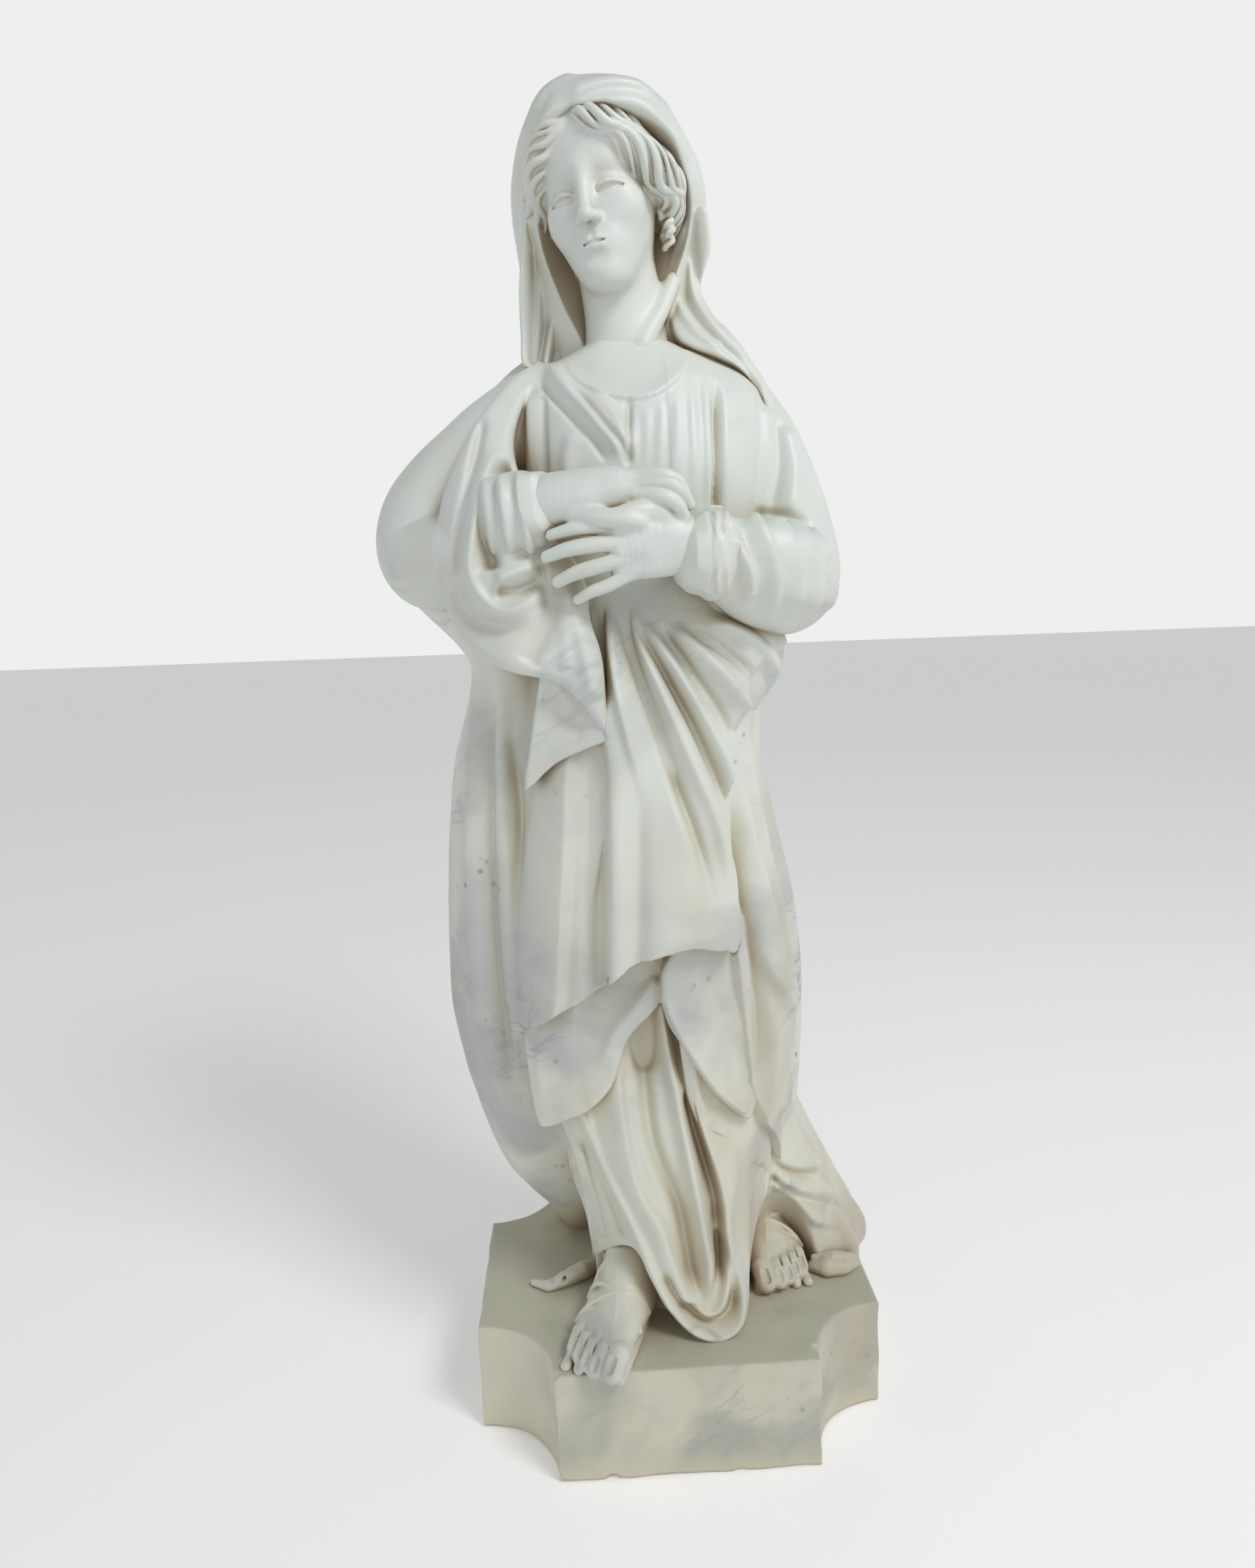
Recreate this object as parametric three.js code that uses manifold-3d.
// A veiled woman in marble, standing with her hands crossed before her, on a low plinth with scooped
// corners. Figure and plinth are one block. She faces -Y, +Z is up, and the origin is at the middle of
// the plinth's underside. All lengths are millimetres.

import * as THREE from 'three';
import { mergeVertices } from 'three/addons/utils/BufferGeometryUtils.js';
import Module from 'manifold-3d';

const wasm = await Module();
wasm.setup();

// ---------------------------------------------------------------------------------------------
// Driving dimensions
// ---------------------------------------------------------------------------------------------
const statueHeight = 1090;
const plinth = { width: 341, depth: 289, height: 94, notch: 65, arcSteps: 6 };
const sunk = 8; // how far the hems and feet run down into the plinth
const clothStep = 8; // how far one layer of cloth stands out from the layer below it

// ---------------------------------------------------------------------------------------------
// Solids from rows of points
// ---------------------------------------------------------------------------------------------
const degrees = Math.PI / 180;

// A smooth curve through [place, value] stops, level at both ends.
function through(stops) {
  return (place) => {
    const last = stops.length - 1;
    if (place <= stops[0][0]) return stops[0][1];
    if (place >= stops[last][0]) return stops[last][1];
    const next = stops.findIndex((stop) => stop[0] > place);
    const [a, b] = [stops[next - 1], stops[next]];
    const before = stops[Math.max(next - 2, 0)];
    const after = stops[Math.min(next + 1, last)];
    const span = b[0] - a[0];
    const slopeA = (b[1] - before[1]) / (b[0] - before[0]);
    const slopeB = (after[1] - a[1]) / (after[0] - a[0]);
    const t = (place - a[0]) / span;
    const bend = t * (1 - t);
    const straight = a[1] + (b[1] - a[1]) * t * t * (3 - 2 * t);
    return straight + span * bend * (slopeA * (1 - t) - slopeB * t);
  };
}

// One closed skin over rows of points. Every row is a loop of as many points, turning left about the
// way that the rows climb, and a fan closes each end.
function skin(rows) {
  const around = rows[0].length;
  const middle = (row) => row.reduce((sum, p) => sum.add(p), new THREE.Vector3()).divideScalar(around);
  const points = [...rows.flat(), middle(rows[0]), middle(rows.at(-1))];
  const foot = points.length - 2;
  const head = points.length - 1;
  const top = (rows.length - 1) * around;
  const faces = [];
  for (let i = 0; i < around; i += 1) {
    const j = (i + 1) % around;
    for (let row = 0; row < top; row += around) {
      faces.push(row + i, row + j, row + around + j);
      faces.push(row + i, row + around + j, row + around + i);
    }
    faces.push(foot, j, i);
    faces.push(head, top + i, top + j);
  }
  const geometry = new THREE.BufferGeometry();
  geometry.setFromPoints(points);
  geometry.setIndex(faces);
  return geometry;
}

// The solid that manifold-3d joins and cuts, from a closed geometry.
function solid(geometry) {
  const bare = geometry.clone();
  bare.deleteAttribute('normal');
  bare.deleteAttribute('uv');
  const merged = mergeVertices(bare, 1e-3);
  const vertProperties = new Float32Array(merged.attributes.position.array);
  const triVerts = new Uint32Array(merged.index.array);
  return new wasm.Manifold(new wasm.Mesh({ numProp: 3, vertProperties, triVerts }));
}

const join = (solids) => solids.reduce((sum, next) => sum.add(next));

// The four outlines of an upright form, each a curve over the height, and a ring of it.
function form(levels) {
  const outline = (column) => through(levels.map((level) => [level[0], level[column]]));
  const [left, right, front, back] = [1, 2, 3, 4].map(outline);
  const roundness = 0.86;
  const rounded = (value) => Math.sign(value) * Math.abs(value) ** roundness;
  return (angle, z, out = 0) => {
    const wide = (right(z) - left(z)) / 2 + out;
    const deep = (back(z) - front(z)) / 2 + out;
    const x = (right(z) + left(z)) / 2 + wide * rounded(Math.sin(angle));
    const y = (back(z) + front(z)) / 2 - deep * rounded(Math.cos(angle));
    return new THREE.Vector3(x, y, z);
  };
}

// A garment over a form: from its hem, which may hang lower at one angle than at another, up to its
// top. Folds push it out and in. An angle of 0 faces front and 90 degrees faces her left, and the
// points lie closer together in front, where the carving is finer.
function garment({ over, hem, top, rows, around, out }) {
  const loops = [];
  for (let row = 0; row <= rows; row += 1) {
    const loop = [];
    for (let i = 0; i < around; i += 1) {
      const even = (i / around) * 2 * Math.PI - Math.PI;
      const angle = even - 0.35 * Math.sin(even);
      const z = hem(angle) + (top(angle) - hem(angle)) * (row / rows);
      loop.push(over(angle, z, out(angle, z)));
    }
    loops.push(loop);
  }
  return solid(skin(loops));
}

// A limb through [x, y, z, half width, half thickness] stations, with rounded ends. The width starts
// level and is carried along the limb without twisting.
function limb(stations, sides = 12, steps = 3) {
  const curves = [0, 1, 2, 3, 4].map((column) => through(stations.map((s, i) => [i, s[column]])));
  const last = stations.length - 1;
  const at = (t) => new THREE.Vector3(...curves.slice(0, 3).map((curve) => curve(t)));
  const alongAt = (t) => at(Math.min(t + 0.05, last)).sub(at(Math.max(t - 0.05, 0))).normalize();
  const first = alongAt(0);
  const upright = Math.abs(first.z) > 0.8 ? new THREE.Vector3(0, 1, 0) : new THREE.Vector3(0, 0, 1);
  const side = new THREE.Vector3().crossVectors(upright, first).normalize();
  const loops = [];
  const ring = (t, scale, ahead) => {
    const along = alongAt(t);
    side.addScaledVector(along, -side.dot(along)).normalize();
    const over = new THREE.Vector3().crossVectors(along, side);
    const centre = at(t).addScaledVector(along, ahead * curves[4](t));
    const loop = [];
    for (let i = 0; i < sides; i += 1) {
      const angle = (i / sides) * 2 * Math.PI;
      const point = centre.clone();
      point.addScaledVector(side, Math.cos(angle) * curves[3](t) * scale);
      point.addScaledVector(over, Math.sin(angle) * curves[4](t) * scale);
      loop.push(point);
    }
    loops.push(loop);
  };
  ring(0, 0.6, -0.7);
  for (let k = 0; k <= last * steps; k += 1) ring(k / steps, 1, 0);
  ring(last, 0.6, 0.7);
  return solid(skin(loops));
}

// A ball, squashed to three radii and placed.
function ball(centre, radii) {
  const geometry = new THREE.SphereGeometry(1, 12, 8);
  geometry.scale(...radii);
  geometry.translate(...centre);
  return solid(geometry);
}

const bump = (distance, width) => Math.exp(-((distance / width) ** 2));
const between = (low, high, value) => THREE.MathUtils.smoothstep(value, low, high);

// ---------------------------------------------------------------------------------------------
// Plinth: a slab with a quarter-round scoop at each corner
// ---------------------------------------------------------------------------------------------
function plinthBlock() {
  const outline = new THREE.Shape();
  const halfWidth = plinth.width / 2;
  const halfDepth = plinth.depth / 2;
  const corners = [[1, -1], [1, 1], [-1, 1], [-1, -1]];
  corners.forEach(([sx, sy], corner) => {
    for (let step = 0; step <= plinth.arcSteps; step += 1) {
      const turn = (step / plinth.arcSteps) * (Math.PI / 2);
      const arc = [plinth.notch * Math.cos(turn), plinth.notch * Math.sin(turn)];
      if (corner % 2) arc.reverse();
      const x = sx * (halfWidth - arc[0]);
      const y = sy * (halfDepth - arc[1]);
      if (corner === 0 && step === 0) outline.moveTo(x, y);
      else outline.lineTo(x, y);
    }
  });
  outline.closePath();
  return solid(new THREE.ExtrudeGeometry(outline, { depth: plinth.height, bevelEnabled: false }));
}

// ---------------------------------------------------------------------------------------------
// Body and garments
// ---------------------------------------------------------------------------------------------
// Levels are [height, left, right, front, back], her right side being on the left, at -X. This is
// the outside of the mantle down to the hems, and of the tunic below them.
const body = form([
  [84, -66, 92, -88, 92],
  [110, -66, 94, -84, 92],
  [150, -72, 98, -82, 94],
  [195, -86, 104, -84, 96],
  [268, -108, 112, -88, 98],
  [346, -122, 115, -98, 96],
  [430, -116, 104, -108, 92],
  [512, -106, 87, -106, 88],
  [565, -103, 83, -100, 86],
  [600, -101, 88, -96, 85],
  [622, -99, 101, -92, 84],
  [648, -97, 110, -86, 82],
  [690, -96, 98, -78, 78],
  [740, -98, 92, -74, 74],
  [790, -102, 94, -80, 72],
  [830, -106, 96, -70, 68],
  [858, -102, 92, -56, 62],
  [880, -84, 74, -42, 54],
  [900, -52, 36, -30, 42],
]);

// The mantle over her right shoulder, which hangs from the elbow down her side and back.
const sideMantle = form([
  [84, -98, -62, 66, 108],
  [115, -110, -50, 44, 112],
  [170, -145, -40, 10, 114],
  [266, -174, -40, -18, 114],
  [330, -187, -40, -30, 114],
  [373, -189, -40, -36, 112],
  [495, -186, -40, -44, 108],
  [561, -177, -40, -46, 104],
  [625, -156, -50, -40, 98],
  [650, -158, -50, -38, 94],
  [690, -194, -50, -30, 88],
  [715, -218, -50, -22, 82],
  [755, -222, -50, -18, 78],
  [790, -188, -50, -14, 76],
  [822, -163, -50, -12, 74],
  [854, -137, -50, -10, 72],
  [879, -112, -50, -6, 70],
  [893, -90, -50, 0, 66],
]);

// The tunic's train, spread on the plinth behind her left foot.
const train = form([
  [84, 40, 176, -30, 100],
  [106, 40, 178, -26, 102],
  [133, 40, 164, -20, 102],
  [164, 40, 149, -14, 100],
  [194, 40, 135, -10, 98],
  [232, 40, 122, -4, 94],
  [280, 40, 112, 4, 88],
]);

// Folds that run from one set of angles at the top to another at the foot, as ridges of a height.
function fan({ top, foot, from, to, width, height }) {
  return (angle, z) => {
    const down = THREE.MathUtils.clamp((top - z) / (top - foot), 0, 1);
    const place = (start, i) => THREE.MathUtils.lerp(start, to[i], down) * degrees;
    const ridge = (start, i) => bump(angle - place(start, i), width * degrees);
    const tallest = Math.max(...from.map(ridge));
    return height * (tallest - 0.6) * between(-0.05, 0.25, down);
  };
}

const apronFan = fan({
  top: 740,
  foot: 400,
  from: [-34, -20, -8, 2, 12, 24, 40],
  to: [-52, -34, -6, 18, 34, 46, 60],
  width: 6,
  height: 9,
});
const tunicFan = fan({
  top: 400,
  foot: 96,
  from: [-48, -30, -15, -5, 4, 14, 28],
  to: [-66, -44, -26, -8, 16, 38, 62],
  width: 6,
  height: 13,
});
const pleats = (count, depth, lean) => (angle, z) => depth * (Math.sin(angle * count + z * lean) - 1);
const backPleats = pleats(9, 4, 0.004);
const sidePleats = pleats(10, 4, 0.005);
const trainPleats = (angle, z) => 3 * Math.sin(z * 0.22 + angle * 1.5) - 3;
const knee = (angle, z) => 12 * bump(angle + 4 * degrees, 24 * degrees) * bump(z - 420, 95);
const facing = (angle) => 1 - between(85 * degrees, 110 * degrees, Math.abs(angle));

// Each hem climbs from her right side to her left. The outer one ends in a steep edge below her
// left hip in front and falls almost to the plinth behind.
const behind = (front, back) => (angle) => back + (front(angle) - back) * facing(angle);
const level = (z) => () => z;
const overHem = behind((angle) => {
  const rise = 424 - 62 * between(10 * degrees, 52 * degrees, -angle);
  return rise + 190 * between(34 * degrees, 58 * degrees, angle);
}, 118);
const underHem = behind((angle) => {
  const left = 368 - 118 * between(2 * degrees, 52 * degrees, -angle);
  return left - 150 * between(14 * degrees, 44 * degrees, angle);
}, 150);

function garments() {
  const around = 42;
  const ground = level(plinth.height - sunk);
  const chestFolds = (angle, z) => (1.6 * Math.sin(angle * 17) - 1.6) * between(740, 800, z);
  const outer = (angle, z) => {
    const front = (knee(angle, z) + apronFan(angle, z) * (1 - between(690, 740, z))) * facing(angle);
    return front + chestFolds(angle, z) + backPleats(angle, z) * (1 - facing(angle));
  };
  const inner = (angle, z) => outer(angle, z) * 0.5 - clothStep * 1.2;
  const lowest = (angle, z) => tunicFan(angle, z) - clothStep * 2.4 * between(200, 300, z);
  return [
    { over: body, hem: ground, top: level(410), rows: 7, around, out: lowest },
    { over: body, hem: underHem, top: level(500), rows: 5, around, out: inner },
    { over: body, hem: overHem, top: level(900), rows: 19, around, out: outer },
    { over: sideMantle, hem: ground, top: level(893), rows: 17, around: 18, out: sidePleats },
    { over: train, hem: ground, top: level(280), rows: 9, around: 16, out: trainPleats },
  ].map(garment);
}

// The mantle slung round her right forearm in hanging loops, and the folded corner that falls below.
function sling() {
  const bag = limb([
    [-92, -20, 842, 20, 26],
    [-126, -26, 806, 36, 34],
    [-136, -40, 750, 40, 42],
    [-124, -56, 700, 44, 38],
    [-104, -68, 668, 40, 28],
  ], 14, 2);
  const loopOf = (size, drop) => limb([
    [-100, -36, 838, 9, 8],
    [-118 - size, -52, 790, 10, 10],
    [-128 - size, -74, 730, 10, 11],
    [-112 - size * 0.8, -92, 690 - drop, 10, 10],
    [-84, -104, 672 - drop, 10, 10],
    [-56, -104, 690 - drop * 0.8, 8, 8],
  ], 6, 2);
  const corner = limb([
    [-70, -92, 690, 24, 14],
    [-72, -96, 640, 30, 12],
    [-66, -98, 604, 26, 9],
    [-54, -100, 590, 8, 6],
  ], 10, 2);
  return [bag, loopOf(0, 0), loopOf(14, 18), loopOf(26, 36), corner];
}

// ---------------------------------------------------------------------------------------------
// Arms and hands
// ---------------------------------------------------------------------------------------------
function arms() {
  const right = limb([
    [-78, 8, 856, 34, 32],
    [-126, 6, 816, 40, 38],
    [-176, 2, 766, 42, 40],
    [-180, -16, 730, 40, 38],
    [-146, -58, 728, 36, 36],
    [-110, -88, 746, 28, 30],
    [-90, -102, 758, 23, 25],
  ], 12, 2);
  const left = limb([
    [66, 8, 852, 32, 28],
    [92, 4, 812, 34, 34],
    [106, -4, 756, 40, 40],
    [110, -20, 708, 42, 43],
    [86, -62, 704, 38, 40],
    [58, -94, 714, 32, 33],
    [40, -106, 722, 24, 27],
  ], 12, 2);
  const cuff = limb([[48, -102, 718, 26, 29], [36, -108, 722, 28, 32], [30, -110, 718, 24, 28]], 12, 1);
  const crooks = [ball([-132, -34, 748], [34, 26, 30]), ball([74, -32, 738], [30, 24, 28])];
  return [right, left, cuff, ...crooks];
}

// A hand: wrist and palm, then its fingers side by side from the knuckles, each bent a little inward.
function hand({ wrist, knuckles, tips, thumb, spread, lengths }) {
  const between3 = (a, b, t) => a.map((value, axis) => value + (b[axis] - value) * t);
  const palm = limb([
    [...wrist, 15, 19],
    [...between3(wrist, knuckles, 0.5), 13, 22],
    [...knuckles, 10, 25],
  ], 10, 2);
  const fingers = lengths.map((length, index) => {
    const offset = spread * (1.5 - index);
    const root = [knuckles[0], knuckles[1], knuckles[2] + offset];
    const reach = [tips[0], tips[1], tips[2] + offset * 0.8];
    const middle = between3(root, reach, length * 0.5);
    middle[1] -= 3;
    return limb([[...root, 6.5, 6.5], [...middle, 6, 6], [...between3(root, reach, length), 4.5, 4.5]], 6, 2);
  });
  const thumbRoot = between3(wrist, knuckles, 0.35);
  const thumbMiddle = between3(thumbRoot, thumb, 0.55);
  thumbMiddle[1] -= 6;
  const thumbLimb = limb([[...thumbRoot, 9, 9], [...thumbMiddle, 8, 8], [...thumb, 6, 6]], 7, 2);
  return [palm, ...fingers, thumbLimb];
}

function hands() {
  const right = hand({
    wrist: [-86, -106, 757],
    knuckles: [-40, -117, 757],
    tips: [22, -118, 748],
    thumb: [-24, -128, 736],
    spread: 10,
    lengths: [0.84, 0.95, 1, 0.86],
  });
  const left = hand({
    wrist: [28, -108, 729],
    knuckles: [-28, -122, 722],
    tips: [-86, -118, 720],
    thumb: [-30, -132, 744],
    spread: 10,
    lengths: [0.95, 1, 0.9, 0.74],
  });
  return [...right, ...left];
}

// ---------------------------------------------------------------------------------------------
// Head, neck and veil
// ---------------------------------------------------------------------------------------------
const head = { centre: [-28, -14, 1001], wide: 50, deep: 64, tall: 77 };
const headTurn = new THREE.Euler(6 * degrees, -7 * degrees, -20 * degrees, 'ZYX');

// The head is a ball shaped in its own frame: it faces -Y, narrows to the chin and carries the
// brow, nose, eye hollows, lips and chin of a calm, regular face.
function headBlock() {
  const geometry = new THREE.SphereGeometry(1, 22, 16);
  geometry.rotateX(Math.PI / 2);
  const place = geometry.attributes.position;
  const point = new THREE.Vector3();
  for (let i = 0; i < place.count; i += 1) {
    point.fromBufferAttribute(place, i);
    const { x, z } = point;
    const front = between(0.2, 0.7, -point.y);
    const jaw = between(0.1, 1, -z);
    const nose = 0.17 * bump(x, 0.12) * bump(z + 0.16, 0.17);
    const eyes = -0.05 * (bump(x - 0.36, 0.16) + bump(x + 0.36, 0.16)) * bump(z - 0.05, 0.1);
    const lips = 0.05 * bump(x, 0.22) * bump(z + 0.5, 0.08);
    const chin = 0.07 * bump(x, 0.24) * bump(z + 0.76, 0.14);
    const flat = -0.06 * bump(x, 0.6);
    point.y -= front * (nose + eyes + lips + chin + flat);
    point.x *= head.wide * (1 - 0.3 * jaw);
    point.y *= head.deep * (1 - 0.1 * jaw);
    point.z *= head.tall;
    place.setXYZ(i, ...point.toArray());
  }
  geometry.applyMatrix4(new THREE.Matrix4().makeRotationFromEuler(headTurn));
  geometry.translate(...head.centre);
  return solid(geometry);
}

// Waved hair, parted in the middle, in two rolls from the brow back over the ears.
function hair() {
  const roll = (side) => {
    const stations = [
      [2 * side, -54, 52, 7, 7],
      [28 * side, -46, 44, 8, 11],
      [46 * side, -26, 20, 10, 13],
      [50 * side, -4, -12, 11, 13],
      [44 * side, 8, -36, 8, 10],
    ];
    const placed = stations.map(([x, y, z, wide, thick]) => {
      const point = new THREE.Vector3(x, y, z).applyEuler(headTurn).add(new THREE.Vector3(...head.centre));
      return [...point.toArray(), wide, thick];
    });
    return limb(placed, 6, 2);
  };
  return [roll(-1), roll(1)];
}

function neck() {
  return limb([
    [-18, 6, 868, 44, 34],
    [-20, -2, 896, 32, 31],
    [-24, -12, 930, 29, 31],
    [-26, -8, 960, 28, 30],
  ], 14, 2);
}

function veil() {
  const outside = form([
    [846, -112, 100, -8, 84],
    [872, -106, 90, -12, 86],
    [892, -94, 70, -18, 86],
    [915, -92, 52, -26, 86],
    [945, -94, 44, -36, 88],
    [980, -100, 51, -46, 88],
    [1012, -103, 53, -54, 86],
    [1034, -101, 47, -58, 80],
    [1056, -95, 36, -56, 68],
    [1072, -84, 20, -46, 54],
    [1083, -68, -2, -32, 38],
    [statueHeight, -44, -24, -14, 20],
  ]);
  const veilFolds = (angle, z) => (3 * Math.sin(angle * 11) - 3) * (1 - between(960, 1050, z));
  const height = { hem: level(846), top: level(statueHeight) };
  const shell = { over: outside, ...height, rows: 13, around: 26, out: veilFolds };
  const hollow = form([
    [840, -52, 32, -160, -8],
    [890, -54, 27, -160, -4],
    [930, -76, 32, -160, 0],
    [985, -88, 38, -160, 6],
    [1015, -90, 38, -160, 8],
    [1042, -80, 25, -160, 4],
    [1062, -62, 4, -160, -8],
    [1074, -46, -18, -160, -20],
  ]);
  const inside = { over: hollow, hem: level(836), top: level(1074), rows: 8, around: 18, out: level(0) };
  return garment(shell).subtract(garment(inside));
}

// ---------------------------------------------------------------------------------------------
// Feet in sandals
// ---------------------------------------------------------------------------------------------
const feet = [
  { heel: [-46, -50], toes: [-70, -138], sole: 8 },
  { heel: [92, 6], toes: [98, -44], sole: 8 },
];

function foot({ heel, toes, sole }) {
  const top = plinth.height;
  const along = new THREE.Vector2(toes[0] - heel[0], toes[1] - heel[1]);
  const spot = (t) => [heel[0] + along.x * t, heel[1] + along.y * t];
  const instep = limb([
    [...spot(0), top + 22, 20, 24],
    [...spot(0.45), top + 18, 22, 18],
    [...spot(0.85), top + 12, 24, 11],
  ], 10, 2);
  const across = new THREE.Vector2(-along.y, along.x).normalize();
  const toeLimbs = [0, 1, 2, 3, 4].map((index) => {
    const side = 19 - index * 9.2;
    const back = index * 0.035;
    const [x, y] = spot(0.86 - back);
    const [tipX, tipY] = spot(1.06 - back * 2);
    const radius = index === 0 ? 7.5 : 5.5;
    const root = [x + across.x * side, y + across.y * side, top + sole + 7, radius, radius];
    const tip = [tipX + across.x * side, tipY + across.y * side, top + sole + 4, radius, radius * 0.8];
    return limb([root, tip], 6, 1);
  });
  const soleSlab = limb([
    [...spot(-0.1), top, 20, sole],
    [...spot(0.5), top, 24, sole],
    [...spot(1.1), top, 25, sole],
  ], 10, 1);
  return [instep, ...toeLimbs, soleSlab];
}

// ---------------------------------------------------------------------------------------------
// The whole block
// ---------------------------------------------------------------------------------------------
const figure = join([
  plinthBlock(),
  ...garments(),
  ...sling(),
  ...arms(),
  ...hands(),
  neck(),
  headBlock(),
  ...hair(),
  veil(),
  ...feet.flatMap(foot),
]);

function meshOf(name, whole, material) {
  const { vertProperties, triVerts } = whole.getMesh();
  const geometry = new THREE.BufferGeometry();
  geometry.setAttribute('position', new THREE.BufferAttribute(vertProperties, 3));
  geometry.setIndex(new THREE.BufferAttribute(triVerts, 1));
  geometry.computeVertexNormals();
  const mesh = new THREE.Mesh(geometry, material);
  mesh.name = name;
  return mesh;
}

const marble = new THREE.MeshStandardMaterial({ color: 0xdcded6, roughness: 0.38, metalness: 0 });
const statue = new THREE.Group();
statue.add(meshOf('statue', figure, marble));

export default statue;
